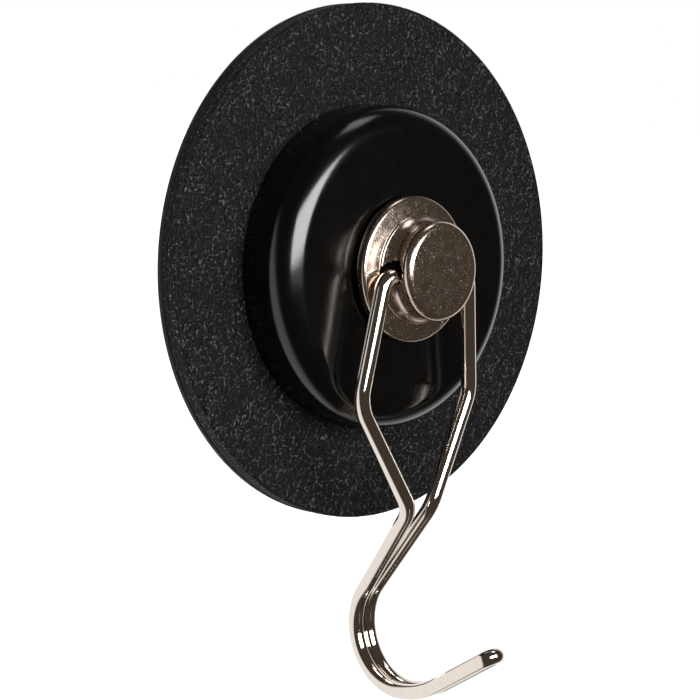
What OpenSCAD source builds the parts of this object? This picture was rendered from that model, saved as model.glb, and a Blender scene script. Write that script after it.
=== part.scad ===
// Magnetic swivel hook: a black steel pot magnet on a round leather-faced pad, with a
// nickel hub that turns on its axis and a doubled-wire hook that swings in the hub's cross-hole.
// The flat back of the pad lies in the plane Y = 0, with the hub's axis through the origin.
// The hub points towards -Y and the hook hangs towards -Z. Heights are measured forward from
// the back. The pad is bonded a little off the hub's axis.

/* [Pad] */
// Diameter of the round pad
pad_d = 93; // [92:0.5:110]
// Thickness of the smooth rear ply
rear_ply_t = 1.2; // [1:0.1:2]
// Thickness of the middle ply
core_ply_t = 1.4; // [1.2:0.1:2.4]
// Thickness of the grained front ply
face_ply_t = 2.1; // [1.8:0.1:3]
// Rounding of the front ply's outer edge
face_edge_r = 0.5; // [0.2:0.1:1]
// How far the pad's centre lies to the right of the hub's axis
pad_shift_x = 3; // [0:0.1:3]
// How far the pad's centre lies above the hub's axis
pad_shift_z = 0.4; // [0:0.1:1]

/* [Magnet cup] */
// Outer diameter of the cup's wall
cup_d = 57.4; // [56:0.2:62]
// Height of the cup proud of the front ply
cup_proud = 10.8; // [9:0.1:12]
// Rounding of the cup's front edge, outside
cup_edge_r = 4.9; // [4:0.1:7]
// Sheet thickness of the cup
cup_t = 1.6; // [1.2:0.1:2]
// Diameter of the turned-out rim that the plies trap
cup_rim_d = 70; // [66:0.5:76]
// Outer diameter of the ring magnet
magnet_d = 48; // [44:1:48]
// Hole through the ring magnet
magnet_hole_d = 24; // [20:1:28]
// Thickness of the disc that covers the magnet from behind
cover_t = 1; // [0.6:0.1:1.4]

/* [Swivel] */
// Diameter of the hub's spigot
spigot_d = 6.9; // [6:0.1:8]
// Radial running clearance of the spigot in its bush
spigot_clearance = 0.05; // [0.02:0.01:0.1]
// Wall thickness of the bush
bush_wall = 1; // [0.8:0.1:1.4]
// Diameter of the bush's collar inside the cup
bush_collar_d = 14; // [12:0.5:16]
// Thickness of the bush's collar
bush_collar_t = 0.8; // [0.6:0.1:1.2]
// Diameter of the black washer under the hub
hub_washer_d = 24; // [22:0.5:25]
// Thickness of the black washer
hub_washer_t = 0.6; // [0.4:0.1:1]
// Thickness of the thrust washer inside the cup
thrust_washer_t = 0.6; // [0.4:0.1:1]
// Outer diameter of the thrust washer
thrust_washer_d = 12; // [11:0.5:14]
// Gap between faces that slide on each other
face_gap = 0.1; // [0.05:0.01:0.2]

/* [Hub] */
// Diameter of the hub's flange
flange_d = 25.8; // [25.4:0.2:30]
// Thickness of the flange at its edge
flange_t = 1.8; // [1.5:0.1:2.4]
// Rounding of the flange's front edge
flange_edge_r = 0.8; // [0.4:0.1:1]
// Rise of the flange's conical face from its edge to the neck
flange_rise = 0.5; // [0.3:0.1:0.8]
// Diameter of the shoulder at the foot of the neck
shoulder_d = 19; // [18.8:0.1:19.6]
// Thickness of the shoulder
shoulder_t = 0.4; // [0.3:0.1:0.8]
// Smallest diameter of the hollowed neck
neck_d = 16; // [15.6:0.1:16.4]
// Radius of the hollow round the neck
neck_hollow_r = 3.9; // [3.7:0.1:4.6]
// Length of the neck between shoulder and knob
neck_l = 4; // [4:0.1:4.4]
// Diameter of the knob
knob_d = 17.4; // [17:0.1:17.4]
// Thickness of the knob
knob_t = 1.9; // [1.8:0.1:3]
// Rounding of the knob's front edge
knob_edge_r = 1.3; // [0.8:0.1:1.4]
// Diameter of the cross-hole that the hook hangs in
cross_hole_d = 4.2; // [3.8:0.1:4.2]

/* [Hook] */
// Diameter of the hook's wire
wire_d = 2.8; // [2:0.1:2.8]
// Gap under the wire in the cross-hole
wire_seat_gap = 0.1; // [0.05:0.05:0.2]
// Length of straight wire inside the cross-hole, each side, from the end to the bend's corner
wire_end_l = 8.9; // [8:0.1:9]
// Half the width between the legs at the hub
leg_top_x = 10.3; // [10.2:0.1:11]
// Half the width between the legs at their widest
leg_wide_x = 13.6; // [12:0.1:15]
// How far both legs' widest places lie to the left, as the wire is bent by hand
leg_skew = 2; // [0:0.1:2]
// Drop from the pivot to the widest place
leg_wide_drop = 21.8; // [18:0.1:24]
// Drop from the pivot to the corner where the legs turn back
leg_drop = 41.7; // [40:0.1:46]
// Half the width between the legs at that corner
leg_corner_x = 2.7; // [2:0.1:3]
// How far the legs lean back towards the wall by that corner
leg_lean = 1.3; // [0.8:0.1:1.6]
// Clear gap between the two wires where they run side by side
pair_gap = 0.2; // [0.1:0.05:0.3]
// Angle of the rear straight from the vertical
back_angle = 37.5; // [33:0.5:38]
// Length of the rear straight, along which the wires close up
back_l = 20.9; // [18:0.1:21]
// Radius of the round of the hook, at the wire's centre
hook_r = 10.7; // [9:0.1:11]
// Angle of the hook's floor above the horizontal
floor_angle = 8; // [6:1:12]
// Length of the hook's floor, up to the corner where it lifts
floor_l = 4.5; // [4.1:0.1:6]
// Angle of the tip above the horizontal
tip_angle = 31; // [24:1:33]
// Length of the tip, from the lifting corner to the hairpin
tip_l = 17.2; // [12:0.1:18]
// Radius of the bend that lifts the tip
lift_bend_r = 20; // [10:1:20]
// Bend radius at the hub, at the wire's centre
top_bend_r = 3; // [2.6:0.1:3]
// Bend radius at the widest place
wide_bend_r = 7; // [5:0.5:9]
// Bend radius where the legs meet
meet_bend_r = 6; // [5:0.5:8]
// Bend radius where the wires come side by side
pair_bend_r = 10; // [6:1:12]

/* [Hidden] */
$fn = 96;

fit_gap = 0.05;           // between pieces that sit in each other on one body
through = 1;              // how far a cutter runs past the face it cuts
joint_l = 0.02;           // bands that join the wire's runs to its bends
joint_proud = 0.003;

core_h = rear_ply_t;                        // back of the middle ply
face_h = core_h + core_ply_t;               // back of the front ply
pad_h = face_h + face_ply_t;                // front of the pad
cup_h = pad_h + cup_proud;                  // front of the cup
cup_inner_h = cup_h - cup_t;                // inside of the cup's front wall
cup_inner_r = cup_d / 2 - cup_t;
cup_straight_h = cup_h - cup_edge_r;        // top of the cup's straight wall

spigot_r = spigot_d / 2;
bush_bore_r = spigot_r + spigot_clearance;
bush_r = bush_bore_r + bush_wall;
bush_back_h = cup_inner_h - bush_collar_t;

clip_t = 0.6;                               // retaining clip
clip_gap_angle = 70;                        // its open side
clip_grip = 0.5;                            // depth of the spigot's groove
clip_reach = 1.7;                           // how far it stands out past the spigot
spigot_lip = 0.7;                           // spigot left behind the groove
thrust_back_h = bush_back_h - face_gap - thrust_washer_t;
clip_back_h = thrust_back_h - clip_t;
spigot_back_h = clip_back_h - spigot_lip;

flange_back_h = cup_h + hub_washer_t + face_gap;
flange_front_h = flange_back_h + flange_t;
shoulder_back_h = flange_front_h + flange_rise;
shoulder_front_h = shoulder_back_h + shoulder_t;
shoulder_edge_r = 0.3;
knob_back_h = shoulder_front_h + neck_l;
neck_waist_h = knob_back_h - neck_l * 0.3;              // where the neck is thinnest

wire_r = wire_d / 2;
pivot_h = (shoulder_back_h + knob_back_h) / 2 - 0.1;    // height of the cross-hole
pivot_z = -(cross_hole_d / 2 - wire_r - wire_seat_gap);  // the wire lies low in the hole
pair_x = wire_r + pair_gap / 2;

// One half of the wire, corner by corner from its end in the hub to the hook's tip
pair_run = back_l - 0.9;                    // the wires are side by side just before the round
back_dir = [0, sin(back_angle), -cos(back_angle)];
floor_dir = [0, -cos(floor_angle), sin(floor_angle)];
tip_dir = [0, -cos(tip_angle), sin(tip_angle)];
round_reach = hook_r * tan(acos(back_dir * floor_dir) / 2);
leg_corner = [leg_corner_x, leg_lean, -leg_drop];
pair_corner = [pair_x, leg_lean, -leg_drop] + pair_run * back_dir;
round_corner = [pair_x, leg_lean, -leg_drop] + (back_l + round_reach) * back_dir;
lift_corner = round_corner + (round_reach + floor_l) * floor_dir;
tip_corner = lift_corner + (tip_l + pair_x) * tip_dir;
half_path = [[leg_top_x - wire_end_l, 0, 0], [leg_top_x, 0, 0],
    [leg_wide_x, leg_lean * leg_wide_drop / leg_drop, -leg_wide_drop],
    leg_corner, pair_corner, round_corner, lift_corner, tip_corner];
half_bends = [0, top_bend_r, wide_bend_r, meet_bend_r, pair_bend_r, hook_r, lift_bend_r, pair_x - joint_l / 4];
half_skews = [0, 0, -leg_skew, 0, 0, 0, 0, 0];
last = len(half_path) - 1;
wire_path = concat([for (i = [0 : last]) [half_skews[i] - half_path[i].x, half_path[i].y, half_path[i].z]],
    [for (i = [last : -1 : 0]) half_path[i] + [half_skews[i], 0, 0]]);
wire_bends = concat(half_bends, [for (i = [last : -1 : 0]) half_bends[i]]);

function unit(v) = v / norm(v);
function across(w) = unit(cross(w, abs(w.x) < 0.9 ? [1, 0, 0] : [0, 1, 0]));
function placed(x, y, z, at) = [[x.x, y.x, z.x, at.x], [x.y, y.y, z.y, at.y],
    [x.z, y.z, z.z, at.z], [0, 0, 0, 1]];

// Length that a bend of radius r takes from each of the two runs that meet at b
function bend_trim(a, b, c, r) = r * tan(acos(unit(b - a) * unit(c - b)) / 2);

// Turns a shape drawn round +Z into the row's frame, where height runs along -Y
module forward() {
    rotate([90, 0, 0]) children();
}

module ring(outer_r, inner_r, low, high) {
    translate([0, 0, low]) difference() {
        cylinder(r = outer_r, h = high - low);
        translate([0, 0, -through]) cylinder(r = inner_r, h = high - low + 2 * through);
    }
}

// Half outline of a disc with a rounded front edge
module rounded_outline(r, low, high, edge) {
    translate([0, low]) square([r - edge, high - low]);
    translate([0, low]) square([r, high - low - edge]);
    translate([r - edge, high - edge]) intersection() {
        circle(r = edge);
        square(2 * edge);
    }
}

module rounded_disc(r, low, high, edge) {
    rotate_extrude() rounded_outline(r, low, high, edge);
}

// A straight cylinder from a to b
module straight(a, b, r) {
    w = unit(b - a);
    u = across(w);
    multmatrix(placed(u, cross(w, u), w, a)) cylinder(r = r, h = norm(b - a));
}

// The hair-wide band at c that joins a run along w to the bend beside it
module wire_joint(c, w) {
    straight(c - joint_l / 2 * w, c + joint_l / 2 * w, wire_r + joint_proud);
}

// The bend of radius r that rounds the corner b between the runs from a and to c
module wire_bend(a, b, c, r) {
    along = unit(b - a);
    leaving = unit(c - b);
    inward = unit(leaving - (leaving * along) * along);
    start = b - bend_trim(a, b, c, r) * along;
    multmatrix(placed(-inward, along, cross(-inward, along), start + r * inward))
        rotate_extrude(angle = acos(along * leaving)) translate([r, 0]) circle(r = wire_r);
}

module bent_wire(path, bends) {
    n = len(path);
    trims = [for (i = [0 : n - 1]) bends[i] > 0
        ? bend_trim(path[i - 1], path[i], path[i + 1], bends[i]) : 0];
    for (i = [0 : n - 2]) {
        w = unit(path[i + 1] - path[i]);
        a = path[i] + trims[i] * w;
        b = path[i + 1] - trims[i + 1] * w;
        if (norm(b - a) > fit_gap) {
            straight(a + (i > 0 ? joint_l / 4 : 0) * w, b - (i < n - 2 ? joint_l / 4 : 0) * w, wire_r);
            if (i > 0) wire_joint(a, w);
            if (i < n - 2) wire_joint(b, w);
        } else wire_joint((a + b) / 2, w);
    }
    for (i = [1 : n - 2]) wire_bend(path[i - 1], path[i], path[i + 1], bends[i]);
}

// Places a ply's outline round the pad's own centre
module on_pad() {
    translate([pad_shift_x, pad_shift_z, 0]) children();
}

module rear_ply() {
    color("#1b1b1d") forward() on_pad() cylinder(d = pad_d, h = rear_ply_t);
}

// The middle ply has a window that holds the cup's rim
module core_ply() {
    color("#262627") forward() difference() {
        on_pad() translate([0, 0, core_h]) cylinder(d = pad_d, h = core_ply_t);
        translate([0, 0, core_h - through])
            cylinder(r = cup_rim_d / 2 + fit_gap, h = core_ply_t + 2 * through);
    }
}

// The grained front ply traps the cup's rim and lets its wall through
module face_ply() {
    color("#303032") forward() difference() {
        on_pad() rounded_disc(pad_d / 2, face_h, pad_h, face_edge_r);
        translate([0, 0, face_h - through])
            cylinder(r = cup_d / 2 + fit_gap, h = face_ply_t + 2 * through);
    }
}

// Drawn steel cup with a turned-out rim and a hole for the bush
module magnet_cup() {
    color("#0b0b0c") forward() difference() {
        union() {
            rounded_disc(cup_d / 2, core_h, cup_h, cup_edge_r);
            translate([0, 0, core_h]) cylinder(d = cup_rim_d, h = core_ply_t);
        }
        rounded_disc(cup_inner_r, core_h - through, cup_inner_h, cup_edge_r - cup_t);
        translate([0, 0, cup_inner_h - through])
            cylinder(r = bush_r, h = cup_t + 2 * through);
    }
}

module magnet_cover() {
    color("#3a3a3c") forward() translate([0, 0, core_h])
        cylinder(r = cup_inner_r - fit_gap, h = cover_t);
}

// Plastic ring that keeps the magnet central in the cup
module centring_ring() {
    color("#d8d4c8") forward()
        ring(cup_inner_r - fit_gap, magnet_d / 2 + fit_gap, core_h + cover_t, cup_straight_h);
}

module ring_magnet() {
    color("#4a4a50") forward()
        ring(magnet_d / 2, magnet_hole_d / 2, core_h + cover_t, cup_inner_h);
}

// Collared bush pressed into the cup's front wall from inside
module swivel_bush() {
    color("#b5894a") forward() difference() {
        union() {
            translate([0, 0, bush_back_h]) cylinder(d = bush_collar_d, h = bush_collar_t);
            translate([0, 0, bush_back_h]) cylinder(r = bush_r, h = cup_h - bush_back_h);
        }
        translate([0, 0, bush_back_h - through])
            cylinder(r = bush_bore_r, h = cup_h - bush_back_h + 2 * through);
    }
}

module hub_washer() {
    color("#111112") forward()
        ring(hub_washer_d / 2, spigot_r + 0.3, cup_h, cup_h + hub_washer_t);
}

// Half outline of the hub: flange, shoulder, hollowed neck and knob
module hub_outline() {
    rounded_outline(flange_d / 2, flange_back_h, flange_front_h, flange_edge_r);
    polygon([[0, flange_front_h - flange_edge_r], [flange_d / 2 - flange_edge_r, flange_front_h],
        [shoulder_d / 2, shoulder_back_h], [0, shoulder_back_h]]);
    rounded_outline(shoulder_d / 2, flange_front_h, shoulder_front_h, shoulder_edge_r);
    translate([0, shoulder_back_h]) square([neck_d / 2, knob_back_h + knob_t / 2 - shoulder_back_h]);
    difference() {
        translate([0, shoulder_back_h])
            square([shoulder_d / 2 - shoulder_edge_r, knob_back_h - shoulder_back_h]);
        translate([neck_d / 2 + neck_hollow_r, neck_waist_h]) circle(r = neck_hollow_r);
    }
    rounded_outline(knob_d / 2, knob_back_h, knob_back_h + knob_t, knob_edge_r);
}

module swivel_hub() {
    color("#b8ab97") difference() {
        forward() {
            rotate_extrude() hub_outline();
            difference() {
                translate([0, 0, spigot_back_h])
                    cylinder(r = spigot_r, h = flange_front_h - spigot_back_h);
                ring(spigot_r + through, spigot_r - clip_grip, clip_back_h, clip_back_h + clip_t);
            }
        }
        translate([-knob_d, -pivot_h, 0]) rotate([0, 90, 0])
            cylinder(d = cross_hole_d, h = 2 * knob_d);
    }
}

module thrust_washer() {
    color("#c9c9c9") forward()
        ring(thrust_washer_d / 2, spigot_r + fit_gap, thrust_back_h, thrust_back_h + thrust_washer_t);
}

// Open spring clip in the spigot's groove
module retaining_clip() {
    color("#5a5a5e") forward() translate([0, 0, clip_back_h])
        rotate([0, 0, -90 + clip_gap_angle / 2]) rotate_extrude(angle = 360 - clip_gap_angle)
            translate([spigot_r - clip_grip, 0]) square([clip_grip + clip_reach, clip_t]);
}

// One bent wire: two ends in the hub, two legs, a side-by-side pair and a closed tip
module wire_hook() {
    color("#cfc4b4") translate([0, -pivot_h, pivot_z]) bent_wire(wire_path, wire_bends);
}

rear_ply();
core_ply();
face_ply();
magnet_cup();
magnet_cover();
centring_ring();
ring_magnet();
swivel_bush();
hub_washer();
swivel_hub();
thrust_washer();
retaining_clip();
wire_hook();
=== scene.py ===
from math import ceil, cos, hypot, pi, radians, sin, tan

import bpy
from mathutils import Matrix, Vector


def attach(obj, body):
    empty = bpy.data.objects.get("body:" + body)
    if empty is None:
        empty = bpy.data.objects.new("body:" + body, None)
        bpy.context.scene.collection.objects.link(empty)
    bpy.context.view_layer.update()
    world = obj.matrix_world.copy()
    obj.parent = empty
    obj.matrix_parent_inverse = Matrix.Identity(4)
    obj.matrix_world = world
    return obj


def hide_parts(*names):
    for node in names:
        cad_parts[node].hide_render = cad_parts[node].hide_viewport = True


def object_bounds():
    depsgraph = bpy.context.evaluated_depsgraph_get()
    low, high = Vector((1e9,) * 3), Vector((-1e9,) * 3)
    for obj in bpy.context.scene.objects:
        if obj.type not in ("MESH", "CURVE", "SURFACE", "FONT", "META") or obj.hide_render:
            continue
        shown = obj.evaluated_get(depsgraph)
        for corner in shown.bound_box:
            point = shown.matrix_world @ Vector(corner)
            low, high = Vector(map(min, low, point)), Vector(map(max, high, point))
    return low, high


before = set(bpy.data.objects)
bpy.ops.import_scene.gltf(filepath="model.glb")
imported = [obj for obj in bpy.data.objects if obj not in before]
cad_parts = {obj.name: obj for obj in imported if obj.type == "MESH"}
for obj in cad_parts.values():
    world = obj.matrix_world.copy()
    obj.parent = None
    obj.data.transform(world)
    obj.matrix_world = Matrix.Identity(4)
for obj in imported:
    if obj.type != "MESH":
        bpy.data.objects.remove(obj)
cadBox = [list(corner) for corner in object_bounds()]
bpy.ops.object.select_all(action='DESELECT')
print("frame loaded:", len(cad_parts), "nodes")

mm = 0.001
front = Vector((0, -1, 0))  # heights in the dictionaries run this way, from the pad's back


def startPoint(name, at):
    # one loose vertex that an outline or a path grows from
    bpy.ops.object.select_all(action='DESELECT')
    bpy.ops.mesh.primitive_plane_add(size=mm)
    piece = bpy.context.object
    piece.name = piece.data.name = name
    bpy.ops.object.mode_set(mode='EDIT')
    bpy.ops.mesh.select_mode(type='VERT')
    bpy.ops.mesh.select_all(action='SELECT')
    bpy.ops.mesh.merge(type='CENTER')
    bpy.ops.transform.translate(value=at)
    return piece


def extrudeTo(pen, there):
    if (there - pen).length > 1e-7:
        bpy.ops.mesh.extrude_region_move(TRANSFORM_OT_translate={"value": there - pen})


def drawPath(name, corners, radii, arcStep):
    # extrudes the last vertex along each run and spins it round each corner's radius
    piece = startPoint(name, corners[0])
    pen = corners[0]
    for i in range(1, len(corners)):
        corner, radius = corners[i], radii[i]
        if radius == 0 or i == len(corners) - 1:
            extrudeTo(pen, corner)
            pen = corner
            continue
        arriving = (corner - corners[i - 1]).normalized()
        leaving = (corners[i + 1] - corner).normalized()
        turn = arriving.angle(leaving)
        trim = radius * tan(turn / 2)
        inward = (leaving - leaving.dot(arriving) * arriving).normalized()
        arcStart = corner - trim * arriving
        extrudeTo(pen, arcStart)
        bpy.ops.mesh.spin(steps=ceil(turn / arcStep), angle=turn, center=arcStart + radius * inward,
                          axis=leaving.cross(arriving))
        pen = corner + trim * leaving
    return piece


def smoothByAngle(piece, degreesLimit=32):
    bpy.ops.object.mode_set(mode='OBJECT')
    bpy.ops.object.select_all(action='DESELECT')
    piece.select_set(True)
    bpy.context.view_layer.objects.active = piece
    bpy.ops.object.shade_smooth_by_angle(angle=radians(degreesLimit))


def lathe(name, outline, steps, arcStep=radians(9)):
    # outline is (radius, height, rounding) in millimetres, spun round the hub's axis
    corners = [Vector((r, -h, 0)) * mm for r, h, rounding in outline]
    piece = drawPath(name, corners, [rounding * mm for r, h, rounding in outline], arcStep)
    bpy.ops.mesh.select_all(action='SELECT')
    bpy.ops.mesh.spin(steps=steps, angle=2 * pi, center=(0, 0, 0), axis=(0, 1, 0))
    bpy.ops.mesh.select_all(action='SELECT')
    bpy.ops.mesh.remove_doubles(threshold=1e-7)
    bpy.ops.mesh.normals_make_consistent(inside=False)
    smoothByAngle(piece)
    return piece


def selectWhere(piece, part, test):
    # selects the vertices, edges or polygons that pass the test, and stays in edit mode
    modes = {'vertices': 'VERT', 'edges': 'EDGE', 'polygons': 'FACE'}
    bpy.ops.object.mode_set(mode='OBJECT')
    bpy.ops.object.select_all(action='DESELECT')
    piece.select_set(True)
    bpy.context.view_layer.objects.active = piece
    bpy.ops.object.mode_set(mode='EDIT')
    bpy.ops.mesh.select_mode(type=modes[part])
    bpy.ops.mesh.select_all(action='DESELECT')
    bpy.ops.object.mode_set(mode='OBJECT')
    for element in getattr(piece.data, part):
        element.select = test(element)
    bpy.ops.object.mode_set(mode='EDIT')


def groupWhere(piece, groupName, test):
    selectWhere(piece, 'vertices', test)
    bpy.ops.object.vertex_group_add()
    piece.vertex_groups.active.name = groupName
    bpy.ops.object.vertex_group_assign()
    bpy.ops.object.mode_set(mode='OBJECT')


def applyModifier(piece, modifier):
    bpy.context.view_layer.objects.active = piece
    bpy.ops.object.modifier_apply(modifier=modifier.name)


def roughen(piece, groupName, texture, strength, direction='NORMAL', middle=0.5):
    # pushes a group's vertices in and out by a procedural texture, in real geometry
    displace = piece.modifiers.new(texture.name, 'DISPLACE')
    displace.texture = texture
    displace.texture_coords = 'LOCAL'
    displace.vertex_group = groupName
    displace.direction = direction
    displace.mid_level = middle
    displace.strength = strength * mm
    applyModifier(piece, displace)


def radiusOf(point):
    return hypot(point.x, point.z) / mm


def heightOf(point):
    return -point.y / mm


def newMaterial(name, colour, roughness, metallic=0.0, specular=0.5):
    material = bpy.data.materials.new(name)
    material.use_nodes = True
    shader = material.node_tree.nodes['Principled BSDF']
    shader.inputs['Base Color'].default_value = (*colour, 1)
    shader.inputs['Roughness'].default_value = roughness
    shader.inputs['Metallic'].default_value = metallic
    shader.inputs['Specular IOR Level'].default_value = specular
    return material, shader


def addNode(material, kind, settings=None, **inputs):
    node = material.node_tree.nodes.new('ShaderNode' + kind)
    for key, value in (settings or {}).items():
        setattr(node, key, value)
    for key, value in inputs.items():
        node.inputs[key.replace('_', ' ')].default_value = value
    return node


def join(material, output, target):
    material.node_tree.links.new(output, target)


def objectPlace(material, stretch=(1, 1, 1)):
    place = addNode(material, 'TexCoord')
    mapping = addNode(material, 'Mapping', Scale=stretch)
    join(material, place.outputs['Object'], mapping.inputs['Vector'])
    return mapping.outputs['Vector']


def noise(material, place, perMetre, detail=3.0, distortion=0.0):
    node = addNode(material, 'TexNoise', Scale=perMetre, Detail=detail, Distortion=distortion)
    join(material, place, node.inputs['Vector'])
    return node.outputs['Fac']


def cells(material, place, perMetre, feature='F1'):
    node = addNode(material, 'TexVoronoi', {'feature': feature}, Scale=perMetre)
    join(material, place, node.inputs['Vector'])
    return node.outputs['Distance']


def fitRange(material, value, low, high, newLow, newHigh):
    node = addNode(material, 'MapRange', {'interpolation_type': 'SMOOTHSTEP'})
    for socket, number in zip(node.inputs[1:5], (low, high, newLow, newHigh)):
        socket.default_value = number
    join(material, value, node.inputs['Value'])
    return node.outputs['Result']


def combine(material, a, b, operation='MULTIPLY'):
    node = addNode(material, 'Math', {'operation': operation})
    join(material, a, node.inputs[0])
    if isinstance(b, (int, float)):
        node.inputs[1].default_value = b
    else:
        join(material, b, node.inputs[1])
    return node.outputs['Value']


def colourBetween(material, factor, first, second):
    node = addNode(material, 'Mix', {'data_type': 'RGBA'})
    node.inputs[6].default_value = (*first, 1)
    node.inputs[7].default_value = (*second, 1)
    join(material, factor, node.inputs[0])
    return node.outputs[2]


def bump(material, height, depth, strength=1.0, after=None):
    # depth is in millimetres
    node = addNode(material, 'Bump', Strength=strength, Distance=depth * mm)
    join(material, height, node.inputs['Height'])
    if after is not None:
        join(material, after, node.inputs['Normal'])
    return node.outputs['Normal']


def paint(piece, *materials):
    piece.data.materials.clear()
    for material in materials:
        piece.data.materials.append(material)


view = {
    'azimuth': -43.72,    # degrees, from the hub's axis round to the pad's left edge
    'elevation': 6.48,
    'distance': 363.7,    # from the point aimed at
    'aim': (-0.6, -1.8, -15.5),
    'lens': 102.86,
    'sensor': 36.0,
}


def direction(azimuth, elevation):
    a, e = radians(azimuth), radians(elevation)
    return Vector((sin(a) * cos(e), -cos(a) * cos(e), sin(e)))


def addCamera():
    towards = direction(view['azimuth'], view['elevation'])
    bpy.ops.object.camera_add(location=(Vector(view['aim']) + view['distance'] * towards) * mm,
                              rotation=(-towards).to_track_quat('-Z', 'Y').to_euler())
    camera = bpy.context.object
    camera.name = 'camera'
    camera.data.lens = view['lens']
    camera.data.sensor_width = view['sensor']
    camera.data.clip_start = 0.01
    bpy.context.scene.camera = camera


addCamera()
print("camera placed")

pad = {
    'radius': 46.5,
    'centre': (3.0, 0.4),  # the plies' outlines lie off the hub's axis
    'rearFront': 1.2,      # height of the rear ply's front
    'coreFront': 2.6,
    'faceFront': 4.7,
    'coreWindow': 35.05,
    'faceWindow': 28.75,
    'edgeRounding': 0.5,
    'plyRounding': 0.2,
    'coreRecess': 0.12,    # the middle ply is cut a little smaller
    'grainStep': 0.29,     # spacing of the grained face's mesh
    'cellSize': 1.2,       # the grain's pebbles
    'cellDepth': 0.16,
    'waveSize': 5.0,       # slow unevenness of the skin
    'waveDepth': 0.10,
    'fibreSize': 0.55,
    'fibreDepth': 0.10,
}


def legacyTexture(name, kind, size, **settings):
    texture = bpy.data.textures.new(name, kind)
    texture.noise_scale = size * mm
    for key, value in settings.items():
        setattr(texture, key, value)
    return texture


def leatherFaceMaterial():
    # dark flat pebbles, with paler creases round them that break up into flecks; the paler crease colour is
    # painted highlight standing in for glints along the creases
    material, shader = newMaterial('leatherFace', (0.0016, 0.0015, 0.0016), 0.5, specular=0.2)
    place = objectPlace(material)
    drift = addNode(material, 'TexNoise', Scale=420.0, Detail=1.0)
    join(material, place, drift.inputs['Vector'])
    bent = addNode(material, 'VectorMath', {'operation': 'MULTIPLY_ADD'})
    bent.inputs[1].default_value = (0.0010,) * 3
    join(material, drift.outputs['Color'], bent.inputs[0])
    join(material, place, bent.inputs[2])
    crease = fitRange(material, cells(material, bent.outputs['Vector'], 520.0, 'DISTANCE_TO_EDGE'),
                      0.02, 0.10, 1.0, 0.0)
    fineCrease = fitRange(material, cells(material, bent.outputs['Vector'], 1150.0, 'DISTANCE_TO_EDGE'),
                          0.02, 0.12, 1.0, 0.0)
    flecks = fitRange(material, noise(material, place, 1900.0, 2.0), 0.50, 0.60, 0.0, 1.0)
    patches = fitRange(material, noise(material, place, 260.0, 2.0), 0.35, 0.65, 0.5, 1.0)
    creases = combine(material, crease, combine(material, fineCrease, 0.35), 'MAXIMUM')
    # painted highlight: the crease and fleck mask lightens the base colour where glints would catch the light
    creaseGlintPaint = combine(material, combine(material, creases, flecks), patches)
    join(material, colourBetween(material, creaseGlintPaint, (0.0010, 0.0009, 0.0010), (0.055, 0.050, 0.049)),
         shader.inputs['Base Color'])
    join(material, fitRange(material, creaseGlintPaint, 0.0, 1.0, 0.56, 0.36), shader.inputs['Roughness'])
    pores = noise(material, place, 4200.0, 4.0)
    dip = bump(material, combine(material, creases, -1.0), 0.13, 1.0)
    join(material, bump(material, pores, 0.04, 0.8, dip), shader.inputs['Normal'])
    return material


def cutEdgeMaterial(name, dark, light, roughness, perMetre, speckle):
    # raw edge of a ply: fibres along the cut, with pale specks
    material, shader = newMaterial(name, dark, roughness, specular=0.15)
    place = objectPlace(material, (1, 2.6, 1))
    fibres = noise(material, place, perMetre, 5.0, 0.6)
    specks = fitRange(material, noise(material, objectPlace(material), perMetre * 1.7, 2.0),
                      speckle, speckle + 0.1, 0.0, 1.0)
    tone = combine(material, fitRange(material, fibres, 0.45, 0.75, 0.0, 0.2), specks, 'ADD')
    join(material, colourBetween(material, tone, dark, light), shader.inputs['Base Color'])
    join(material, fitRange(material, fibres, 0.3, 0.7, roughness - 0.1, roughness + 0.15),
         shader.inputs['Roughness'])
    join(material, bump(material, fibres, 0.12, 0.9), shader.inputs['Normal'])
    return material


def offCentre(piece, lowestRadius):
    # slides a ply's outline sideways, fading out towards its window round the hub's axis
    selectWhere(piece, 'vertices', lambda v: radiusOf(v.co) > lowestRadius)
    across, up = pad['centre']
    bpy.ops.transform.translate(value=(across * mm, 0, up * mm), use_proportional_edit=True,
                                use_proportional_connected=False,
                                proportional_edit_falloff='LINEAR',
                                proportional_size=(pad['radius'] - pad['faceWindow']) * mm)
    bpy.ops.object.mode_set(mode='OBJECT')


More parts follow.
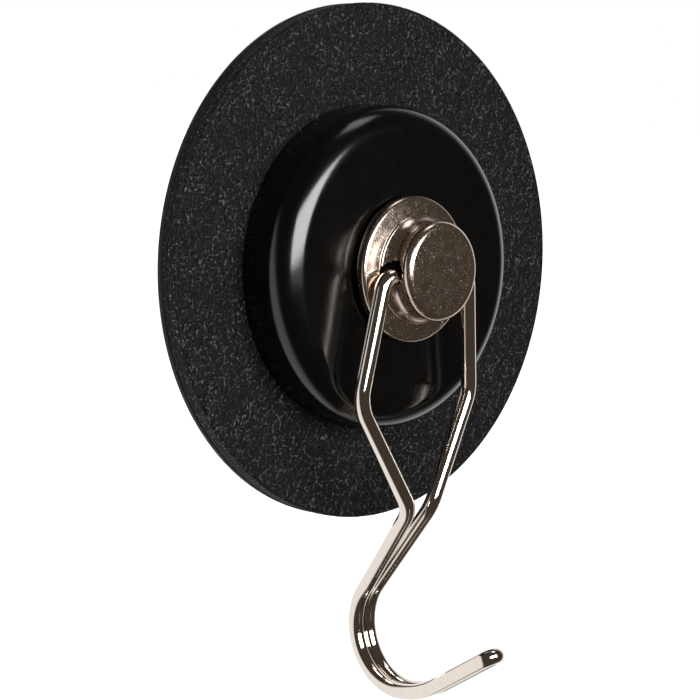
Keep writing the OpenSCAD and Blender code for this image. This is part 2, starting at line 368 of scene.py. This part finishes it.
def makePlies():
    edgeSteps, faceSteps = 288, 900
    faceWidth = pad['radius'] - pad['edgeRounding'] - pad['faceWindow']
    rows = ceil(faceWidth / pad['grainStep'])
    skin = [(pad['radius'] - pad['edgeRounding'] - faceWidth * i / rows, pad['faceFront'], 0)
            for i in range(1, rows)]
    face = lathe('facePly', [
        (pad['faceWindow'], pad['coreFront'], 0),
        (pad['radius'] - 0.05, pad['coreFront'], pad['plyRounding']),
        (pad['radius'], pad['coreFront'] + 1.0, 0), (pad['radius'], pad['coreFront'] + 1.45, 0),
        (pad['radius'], pad['faceFront'], pad['edgeRounding'])] + skin + [
        (pad['faceWindow'], pad['faceFront'], 0), (pad['faceWindow'], pad['coreFront'], 0)],
        faceSteps, radians(15))
    core = lathe('corePly', [
        (pad['coreWindow'], pad['rearFront'], 0),
        (pad['radius'] - pad['coreRecess'], pad['rearFront'], pad['plyRounding']),
        (pad['radius'] - pad['coreRecess'], pad['coreFront'], pad['plyRounding']),
        (pad['coreWindow'], pad['coreFront'], 0), (pad['coreWindow'], pad['rearFront'], 0)],
        edgeSteps * 2)
    rear = lathe('rearPly', [
        (0, 0, 0), (pad['radius'] - 12, 0, 0), (pad['radius'], 0, pad['plyRounding'] * 1.5),
        (pad['radius'], pad['rearFront'], pad['plyRounding']),
        (pad['radius'] - 12, pad['rearFront'], 0), (0, pad['rearFront'], 0)], edgeSteps)

    def onSkin(v):
        return heightOf(v.co) > pad['faceFront'] - 0.01 and radiusOf(v.co) < pad['radius'] - 0.7

    groupWhere(face, 'skin', onSkin)
    groupWhere(face, 'cut', lambda v: radiusOf(v.co) > pad['radius'] - 0.1)
    groupWhere(core, 'cut', lambda v: radiusOf(v.co) > pad['radius'] - pad['coreRecess'] - 0.1)
    for piece in (face, core, rear):
        offCentre(piece, pad['radius'] - pad['edgeRounding'] - 0.05)
    pebbles = legacyTexture('pebbles', 'VORONOI', pad['cellSize'], weight_1=-1.0, weight_2=1.0,
                            noise_intensity=1.0)
    waves = legacyTexture('waves', 'CLOUDS', pad['waveSize'], noise_depth=1)
    fibres = legacyTexture('fibres', 'CLOUDS', pad['fibreSize'], noise_depth=2)
    roughen(face, 'skin', pebbles, -pad['cellDepth'], 'Y', 0.35)
    roughen(face, 'skin', waves, -pad['waveDepth'], 'Y')
    roughen(face, 'cut', fibres, pad['fibreDepth'])
    roughen(core, 'cut', fibres, pad['fibreDepth'] * 0.7)
    smoothByAngle(face, 60)

    faceSkin = leatherFaceMaterial()
    faceCut = cutEdgeMaterial('faceCutEdge', (0.0016, 0.0015, 0.0015), (0.16, 0.145, 0.13),
                              0.75, 1500.0, 0.60)
    # painted highlight: the core ply's pale cut-edge tone and specks stand in for the bright broken line
    # along the rounded edge between the core and face plies
    coreCutAndHighlight = cutEdgeMaterial('coreCutEdge', (0.003, 0.0028, 0.0028), (0.08, 0.072, 0.065),
                              0.7, 1300.0, 0.60)
    rearSkin = cutEdgeMaterial('rearSkin', (0.006, 0.0058, 0.0058), (0.02, 0.019, 0.018),
                               0.5, 500.0, 0.66)
    paint(face, faceSkin, faceCut)
    across, up = pad['centre']
    selectWhere(face, 'polygons', lambda p: hypot(p.center.x / mm - across, p.center.z / mm - up)
                > pad['radius'] - 0.3 and heightOf(p.center) < pad['faceFront'] - 0.3)
    face.active_material_index = 1
    bpy.ops.object.material_slot_assign()
    bpy.ops.object.mode_set(mode='OBJECT')
    paint(core, coreCutAndHighlight)
    paint(rear, rearSkin)
    for piece, node, slotName in ((face, 'face_ply', 'face_leather'), (core, 'core_ply', 'core_leather'),
                                  (rear, 'rear_ply', 'pad_rubber')):
        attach(piece, 'base')
        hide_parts(node)


makePlies()
print("pad made")

cup = {
    'radius': 28.7,
    'front': 15.5,
    'edgeRounding': 4.9,
    'sheet': 1.6,
    'rimRadius': 35.0,
    'rimBack': 1.2,
    'rimFront': 2.6,
    'hole': 4.5,
}


def cupPaintMaterial():
    material, shader = newMaterial('glossBlackPaint', (0.0003, 0.0003, 0.0003), 0.17, specular=0.7)
    place = objectPlace(material)
    film = noise(material, place, 260.0, 2.0)
    grit = noise(material, place, 5200.0, 2.0)
    join(material, fitRange(material, film, 0.3, 0.7, 0.15, 0.19), shader.inputs['Roughness'])
    wave = bump(material, film, 0.05, 0.25)
    join(material, bump(material, grit, 0.010, 0.5, wave), shader.inputs['Normal'])
    return material


def makeCup():
    c = cup
    inside = c['radius'] - c['sheet']
    piece = lathe('magnetCup', [
        (inside, c['rimBack'], 0), (c['rimRadius'], c['rimBack'], 0.3), (c['rimRadius'], c['rimFront'], 0.3),
        (c['radius'], c['rimFront'], 0), (c['radius'], c['front'], c['edgeRounding']),
        (c['hole'] + 9, c['front'], 0), (c['hole'], c['front'], 0.2), (c['hole'], c['front'] - c['sheet'], 0),
        (inside, c['front'] - c['sheet'], c['edgeRounding'] - c['sheet']), (inside, c['rimBack'], 0)],
        288, radians(3))
    paint(piece, cupPaintMaterial())
    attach(piece, 'base')
    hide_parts('magnet_cup')


makeCup()
print("cup made")

hub = {
    'washerRadius': 12.0, 'washerBore': 3.75, 'washerBack': 15.5, 'washerFront': 16.1,
    'flangeRadius': 12.9, 'flangeBack': 16.2, 'flangeFront': 18.0, 'flangeRounding': 0.8,
    'shoulderRadius': 9.5, 'shoulderBack': 18.5, 'shoulderFront': 18.9, 'shoulderRounding': 0.3,
    'neckHollow': 3.9, 'hollowCentre': (11.9, 21.7), 'neckFoot': 9.2,
    'knobRadius': 8.7, 'knobBack': 22.9, 'knobFront': 24.8, 'knobRounding': 1.3,
    'backRounding': 0.35,
    'spigotRadius': 3.45, 'spigotBack': 11.1, 'grooveBack': 11.8, 'grooveFront': 12.4, 'grooveRadius': 2.95,
    'pivotHeight': 20.6, 'holeRadius': 2.08, 'holeBevel': 0.25,
}


def mixTo(material, factor, tone, second):
    node = addNode(material, 'Mix', {'data_type': 'RGBA'})
    node.inputs[7].default_value = (*second, 1)
    join(material, tone, node.inputs[6])
    join(material, factor, node.inputs[0])
    return node.outputs[2]


def nickelMaterial(name, colour, roughness, grainDepth, grainPerMetre, glintSpeckled=False):
    # plated metal: a faint fine grain, and on the hub sparse matt specks that catch the light; their paler
    # colour is painted highlight standing in for glints
    material, shader = newMaterial(name, colour, roughness, metallic=1.0)
    place = objectPlace(material)
    cloud = noise(material, place, 900.0, 3.0)
    grain = noise(material, place, grainPerMetre, 2.0)
    darker = tuple(0.88 * channel for channel in colour)
    join(material, colourBetween(material, cloud, darker, colour), shader.inputs['Base Color'])
    join(material, fitRange(material, cloud, 0.3, 0.7, roughness * 0.85, roughness * 1.2),
         shader.inputs['Roughness'])
    join(material, bump(material, grain, grainDepth, 1.0), shader.inputs['Normal'])
    if glintSpeckled:
        specks = combine(material, fitRange(material, cells(material, place, 2600.0), 0.10, 0.22, 1.0, 0.0),
                         fitRange(material, noise(material, place, 700.0), 0.40, 0.60, 0.0, 1.0))
        tone = shader.inputs['Base Color'].links[0].from_socket
        gloss = shader.inputs['Roughness'].links[0].from_socket
        # painted highlight: the specks' paler colour stands in for glints, while their raised roughness is
        # real
        join(material, mixTo(material, specks, tone, (0.95, 0.86, 0.76)), shader.inputs['Base Color'])
        matt = combine(material, gloss, combine(material, specks, 0.4), 'ADD')
        join(material, matt, shader.inputs['Roughness'])
    return material


def neckCurve():
    # the neck's hollow, from the shoulder to the knob, as corners on its circle
    centreRadius, centreHeight = hub['hollowCentre']
    steps = 20
    foot = -(hub['shoulderFront'] - centreHeight)
    head = hub['knobBack'] - centreHeight
    points = []
    for i in range(steps + 1):
        h = -foot + (foot + head) * i / steps
        across = centreRadius - (max(hub['neckHollow'] ** 2 - h ** 2, 0)) ** 0.5
        points.append((min(across, hub['neckFoot']), centreHeight + h, 0))
    return points


def makeHub():
    g = hub
    piece = lathe('swivelHub', [
        (0, g['spigotBack'], 0), (g['spigotRadius'], g['spigotBack'], 0.3),
        (g['spigotRadius'], g['grooveBack'], 0), (g['grooveRadius'], g['grooveBack'], 0),
        (g['grooveRadius'], g['grooveFront'], 0), (g['spigotRadius'], g['grooveFront'], 0),
        (g['spigotRadius'], g['flangeBack'], 0), (g['flangeRadius'], g['flangeBack'], g['backRounding']),
        (g['flangeRadius'], g['flangeFront'], g['flangeRounding']),
        (g['shoulderRadius'], g['shoulderBack'], 0.12),
        (g['shoulderRadius'], g['shoulderFront'], g['shoulderRounding'])] + neckCurve() + [
        (g['knobRadius'], g['knobBack'], g['backRounding']),
        (g['knobRadius'], g['knobFront'], g['knobRounding']), (g['knobRadius'] - 3, g['knobFront'], 0),
        (0, g['knobFront'], 0)], 240, radians(6))
    bpy.ops.object.select_all(action='DESELECT')
    bpy.ops.mesh.primitive_cylinder_add(vertices=96, radius=g['holeRadius'] * mm,
                                        depth=4 * g['knobRadius'] * mm,
                                        location=g['pivotHeight'] * mm * front, rotation=(0, pi / 2, 0))
    drill = bpy.context.object
    bore = piece.modifiers.new('bore', 'BOOLEAN')
    bore.operation = 'DIFFERENCE'
    bore.solver = 'EXACT'
    bore.object = drill
    applyModifier(piece, bore)
    bpy.data.objects.remove(drill)

    def onLip(edge):
        # the hole's mouth on the neck, clear of the shoulder
        ends = [piece.data.vertices[i].co for i in edge.vertices]
        sides = {p.x > 0 for p in ends}
        reach = [hypot(heightOf(p) - g['pivotHeight'], p.z / mm) for p in ends]
        onNeck = all(radiusOf(p) < g['neckFoot'] - 0.1 and heightOf(p) > g['shoulderFront'] + 0.05
                     for p in ends)
        return len(sides) == 1 and onNeck and all(abs(r - g['holeRadius']) < 0.02 for r in reach)

    selectWhere(piece, 'edges', onLip)
    bpy.ops.mesh.bevel(offset=g['holeBevel'] * mm, segments=4, affect='EDGES')
    smoothByAngle(piece, 30)
    paint(piece, nickelMaterial('hubNickel', (0.74, 0.61, 0.52), 0.18, 0.003, 5200.0, True))
    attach(piece, 'hub')
    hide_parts('swivel_hub')

    washer = lathe('hubWasher', [
        (g['washerBore'], g['washerBack'], 0), (g['washerRadius'], g['washerBack'], 0.15),
        (g['washerRadius'], g['washerFront'], 0.15), (g['washerBore'], g['washerFront'], 0),
        (g['washerBore'], g['washerBack'], 0)], 192)
    rubber, shader = newMaterial('washerBlack', (0.006, 0.006, 0.006), 0.35)
    join(rubber, bump(rubber, noise(rubber, objectPlace(rubber), 3000.0), 0.01, 0.5), shader.inputs['Normal'])
    paint(washer, rubber)
    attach(washer, 'base')
    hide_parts('hub_washer')


makeHub()
print("hub made")

hook = {
    'wireRadius': 1.4,
    'pivot': (0, -20.6, -0.6),
    'endX': 1.4,
    'topX': 10.3, 'topBend': 3.0,
    'wideX': 13.6, 'wideDrop': 21.8, 'wideBend': 7.0,
    'skew': 2.0,           # both widest places lie this far to the left
    'cornerX': 2.7, 'cornerDrop': 41.7, 'lean': 1.3, 'cornerBend': 6.0,
    'pairX': 1.5,          # half the spacing of the two wires side by side
    'pairRun': 20.0, 'pairBend': 10.0,
    'backAngle': 37.5, 'backLength': 20.9,
    'roundRadius': 10.7,
    'floorAngle': 8.0, 'floorLength': 4.5, 'liftBend': 20.0,
    'tipAngle': 31.0, 'tipLength': 17.2,
}


def hookPath():
    k = hook
    back, floor, tip = (radians(k[name]) for name in ('backAngle', 'floorAngle', 'tipAngle'))
    backWay = Vector((0, sin(back), -cos(back)))
    floorWay = Vector((0, -cos(floor), sin(floor)))
    tipWay = Vector((0, -cos(tip), sin(tip)))
    reach = k['roundRadius'] * tan(backWay.angle(floorWay) / 2)
    beside = Vector((k['pairX'], k['lean'], -k['cornerDrop']))
    roundCorner = beside + (k['backLength'] + reach) * backWay
    liftCorner = roundCorner + (reach + k['floorLength']) * floorWay
    half = [
        (Vector((k['endX'], 0, 0)), 0),
        (Vector((k['topX'], 0, 0)), k['topBend']),
        (Vector((k['wideX'], k['lean'] * k['wideDrop'] / k['cornerDrop'], -k['wideDrop'])), k['wideBend']),
        (Vector((k['cornerX'], k['lean'], -k['cornerDrop'])), k['cornerBend']),
        (beside + k['pairRun'] * backWay, k['pairBend']),
        (roundCorner, k['roundRadius']),
        (liftCorner, k['liftBend']),
        (liftCorner + (k['tipLength'] + k['pairX']) * tipWay, k['pairX']),
    ]
    path = [Vector((-p.x, p.y, p.z)) for p, bend in half] + [p.copy() for p, bend in half[::-1]]
    widest = 2
    for i in (widest, len(path) - 1 - widest):
        path[i].x -= k['skew']
    bends = [bend for p, bend in half]
    pivot = Vector(k['pivot'])
    return [(p + pivot) * mm for p in path], [r * mm for r in bends + bends[::-1]]


def makeHook():
    corners, radii = hookPath()
    drawPath('wireHook', corners, radii, radians(3))
    bpy.ops.object.mode_set(mode='OBJECT')
    bpy.ops.object.convert(target='CURVE')
    wire = bpy.context.object
    wire.data.bevel_depth = hook['wireRadius'] * mm
    wire.data.bevel_resolution = 10
    wire.data.use_fill_caps = True
    bpy.ops.object.convert(target='MESH')
    piece = bpy.context.object
    bpy.ops.object.mode_set(mode='EDIT')
    bpy.ops.mesh.select_all(action='SELECT')
    bpy.ops.mesh.remove_doubles(threshold=1e-7)
    bpy.ops.mesh.normals_make_consistent(inside=False)
    smoothByAngle(piece, 40)
    paint(piece, nickelMaterial('hookNickel', (0.84, 0.76, 0.69), 0.06, 0.002, 1600.0))
    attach(piece, 'hook')
    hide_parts('wire_hook')


makeHook()
print("hook made")

innerFinish = {
    'magnet_cover': ((0.03, 0.03, 0.032), 0.45, 0.0, 900.0),
    'centring_ring': ((0.62, 0.60, 0.54), 0.5, 0.0, 700.0),
    'ring_magnet': ((0.42, 0.41, 0.40), 0.3, 1.0, 1800.0),
    'swivel_bush': ((0.72, 0.48, 0.20), 0.28, 1.0, 2400.0),
    'thrust_washer': ((0.55, 0.54, 0.53), 0.3, 1.0, 2400.0),
    'retaining_clip': ((0.16, 0.16, 0.17), 0.4, 1.0, 2400.0),
}


def finishInnerPieces():
    for node, (colour, roughness, metallic, perMetre) in innerFinish.items():
        material, shader = newMaterial(node + 'Finish', colour, roughness, metallic)
        grain = noise(material, objectPlace(material), perMetre, 3.0)
        join(material, colourBetween(material, grain, tuple(0.75 * c for c in colour), colour),
             shader.inputs['Base Color'])
        join(material, fitRange(material, grain, 0.3, 0.7, roughness * 0.8, roughness * 1.25),
             shader.inputs['Roughness'])
        join(material, bump(material, grain, 0.01, 0.6), shader.inputs['Normal'])
        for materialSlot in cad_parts[node].material_slots:
            materialSlot.material = material


finishInnerPieces()
print("inner pieces finished")

studio = {
    'floorDrop': 0.06,      # floor below the object, in metres
    'floorSize': 60.0,
    'white': 1.0,
    'dim': (0.056, 0.047, 0.038),
    'behindEdge': (0.42, 0.75),    # where the room behind the object turns white
    'sweep': (-0.45, 0.80, -0.40),  # middle of the white sweep at the left and below
    'sweepEdge': (0.36, 0.60),
    'lamps': {
        # azimuth, elevation, distance, width, height, power in watts
        'keyLamp': (-4.0, 13.5, 0.7, 0.66, 0.34, 7.0),
        'topLamp': (60.0, 70.0, 0.9, 0.3, 0.3, 0.5),
    },
}


def addFloor(lowest):
    bpy.ops.object.select_all(action='DESELECT')
    bpy.ops.mesh.primitive_plane_add(size=studio['floorSize'], location=(0, 0, lowest - studio['floorDrop']))
    floor = bpy.context.object
    floor.name = 'floor'
    floor.visible_glossy = False
    material, shader = newMaterial('paleFloor', (0.9, 0.9, 0.9), 0.9, specular=0.0)
    shader.inputs['Emission Color'].default_value = (1, 1, 1, 1)
    shader.inputs['Emission Strength'].default_value = 1.0
    floor.data.materials.append(material)


def addLamps():
    for name, (azimuth, elevation, distance, width, height, power) in studio['lamps'].items():
        towards = direction(azimuth, elevation)
        aim = Vector((0, -0.01, 0))
        bpy.ops.object.light_add(type='AREA', location=aim + distance * towards,
                                 rotation=(-towards).to_track_quat('-Z', 'Y').to_euler())
        lamp = bpy.context.object
        lamp.name = name
        lamp.data.shape = 'RECTANGLE'
        lamp.data.size = width
        lamp.data.size_y = height
        lamp.data.energy = power


def whiteTowards(room, place, middle, edge):
    side = addNode(room, 'VectorMath', {'operation': 'DOT_PRODUCT'})
    side.inputs[1].default_value = middle
    join(room, place.outputs['Generated'], side.inputs[0])
    return fitRange(room, side.outputs['Value'], edge[0], edge[1], 0.0, 1.0)


def lightRoom():
    # white all round for the view; reflections find white behind and on a low sweep, and dim elsewhere
    room = bpy.data.worlds.new('studio')
    bpy.context.scene.world = room
    room.use_nodes = True
    shell = room.node_tree.nodes['Background']
    place = addNode(room, 'TexCoord')
    behind = whiteTowards(room, place, -direction(view['azimuth'], view['elevation']), studio['behindEdge'])
    sweep = whiteTowards(room, place, Vector(studio['sweep']), studio['sweepEdge'])
    ray = addNode(room, 'LightPath')
    seen = combine(room, ray.outputs['Is Camera Ray'], combine(room, behind, sweep, 'MAXIMUM'), 'MAXIMUM')
    join(room, colourBetween(room, seen, studio['dim'], (studio['white'],) * 3), shell.inputs['Color'])


addFloor(cadBox[0][2])
addLamps()
lightRoom()
bpy.context.scene.view_settings.view_transform = 'Standard'
print("room lit")
